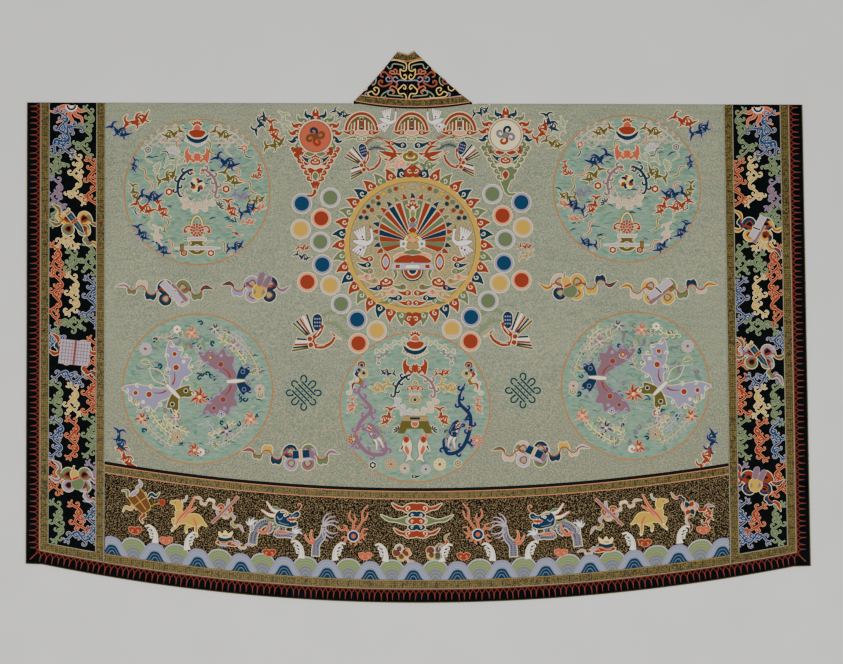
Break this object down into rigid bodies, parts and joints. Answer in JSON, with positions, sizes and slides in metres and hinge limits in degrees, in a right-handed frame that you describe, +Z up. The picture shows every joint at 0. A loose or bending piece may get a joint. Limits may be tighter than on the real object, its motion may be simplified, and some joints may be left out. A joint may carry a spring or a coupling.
{
  "type": "taoist vestment",
  "caption": "Wide open-fronted silk robe laid flat with its back up, with side and hem bands, gold ribbons, a folded neckband and a knotted fringe.",
  "frame": {"origin": "centre of the laid-out robe's bounding box, on the surface that it lies on", "axes": "+X across the robe to the right, +Y up the back towards the collar, +Z up out of the back of the robe"},
  "size_m": [1.8834, 1.3244, 0.0057],
  "materials": {
    "celadon_silk": "woven silk tapestry, low sheen",
    "black_silk": "woven silk tapestry, low sheen",
    "brown_silk": "woven silk tapestry, low sheen",
    "gold_ribbon": "woven ribbon with gold thread, satin",
    "navy_silk": "plain woven silk, matt",
    "red_fringe": "knotted silk floss, matt"
  },
  "bodies": {
    "root": {"back_band_left": "black_silk", "back_band_right": "black_silk", "back_field": "celadon_silk", "back_hem_band": "brown_silk", "border_hem": "navy_silk", "border_left": "navy_silk", "border_right": "navy_silk", "fringe_hem": "red_fringe", "fringe_left": "red_fringe", "fringe_right": "red_fringe", "front_band_left": "black_silk", "front_band_right": "black_silk", "front_border_hem_left": "navy_silk", "front_border_hem_right": "navy_silk", "front_border_left": "navy_silk", "front_border_right": "navy_silk", "front_field_left": "celadon_silk", "front_field_right": "celadon_silk", "front_hem_left": "brown_silk", "front_hem_right": "brown_silk", "neck_ribbon_lower_left": "gold_ribbon", "neck_ribbon_lower_right": "gold_ribbon", "neck_ribbon_upper_left": "gold_ribbon", "neck_ribbon_upper_right": "gold_ribbon", "neckband_left": "black_silk", "neckband_right": "black_silk", "ribbon_foot_left": "gold_ribbon", "ribbon_foot_right": "gold_ribbon", "ribbon_hem_lower": "gold_ribbon", "ribbon_hem_upper": "gold_ribbon", "ribbon_inner_left": "gold_ribbon", "ribbon_inner_right": "gold_ribbon", "ribbon_outer_left": "gold_ribbon", "ribbon_outer_right": "gold_ribbon"}
  },
  "joints": []
}
